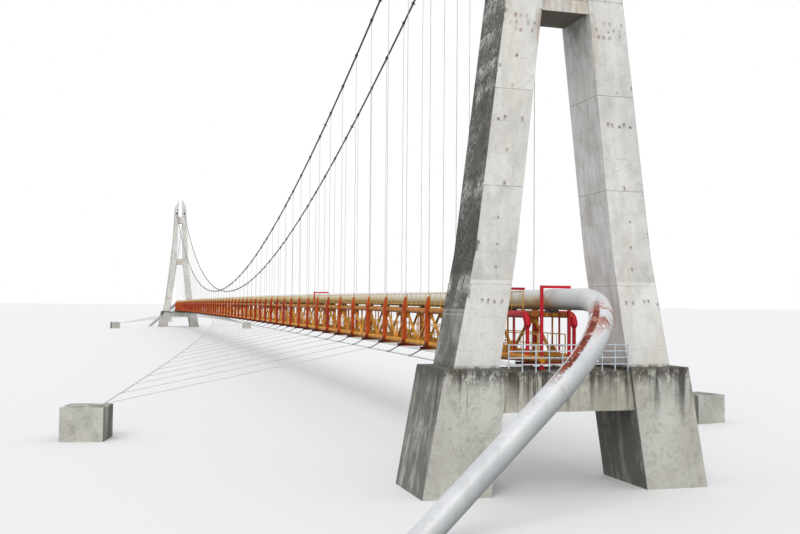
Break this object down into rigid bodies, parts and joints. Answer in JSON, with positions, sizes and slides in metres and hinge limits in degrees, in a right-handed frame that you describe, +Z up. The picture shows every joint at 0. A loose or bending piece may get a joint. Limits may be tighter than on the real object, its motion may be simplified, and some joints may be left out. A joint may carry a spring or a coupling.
{
  "type": "1:20 scale model of an industrial suspension bridge for a gas pipe",
  "caption": "Suspension bridge on concrete towers that carries a large pipe on a steel truss, with hangers, walkway, red frames and wind stays, as a scale model.",
  "frame": {"origin": "middle of the span on the floor, below the pipe", "axes": "+X along the bridge from the near tower to the far one, +Y to its left, +Z up"},
  "size_m": [26.01, 2.3018, 2.255],
  "materials": {
    "tower_concrete": "cast, weathered",
    "pier_concrete": "cast, stained",
    "cable_steel": "weathered",
    "dark_steel": "weathered",
    "wire_steel": "galvanised",
    "yellow_paint": "faded",
    "orange_paint": "faded",
    "red_paint": "worn",
    "rail_paint": "faded",
    "walkway_plate": "rusty",
    "galvanised": "galvanised",
    "pipe_paint": "dirty"
  },
  "bodies": {
    "root": {"near_left_leg": "tower_concrete", "near_right_leg": "tower_concrete", "far_left_leg": "tower_concrete", "far_right_leg": "tower_concrete", "near_lower_beam": "tower_concrete", "near_upper_beam": "tower_concrete", "far_lower_beam": "tower_concrete", "far_upper_beam": "tower_concrete", "near_piers": "pier_concrete", "far_piers": "pier_concrete", "near_cap_beam": "pier_concrete", "far_cap_beam": "pier_concrete", "cable_saddles": "dark_steel", "left_main_cable": "cable_steel", "right_main_cable": "cable_steel", "cable_clamps": "dark_steel", "hangers": "wire_steel", "left_truss_near": "yellow_paint", "left_truss_far": "yellow_paint", "right_truss_near": "yellow_paint", "right_truss_far": "yellow_paint", "truss_end_bends": "red_paint", "truss_posts": "orange_paint", "floor_beams": "orange_paint", "top_beams": "yellow_paint", "lateral_bracing": "yellow_paint", "walkway": "walkway_plate", "walkway_rails": "rail_paint", "left_handrail": "rail_paint", "right_handrail": "rail_paint", "bearings": "dark_steel", "pipe_span": "pipe_paint", "near_pipe_run": "pipe_paint", "far_pipe_run": "pipe_paint", "pipe_cradles": "dark_steel", "pipe_frames": "red_paint", "outriggers": "dark_steel", "steadying_lines": "wire_steel", "left_wind_cable": "wire_steel", "right_wind_cable": "wire_steel", "wind_ties": "wire_steel", "wind_anchors": "pier_concrete", "cable_anchors": "pier_concrete", "cap_railings": "galvanised"}
  },
  "joints": []
}
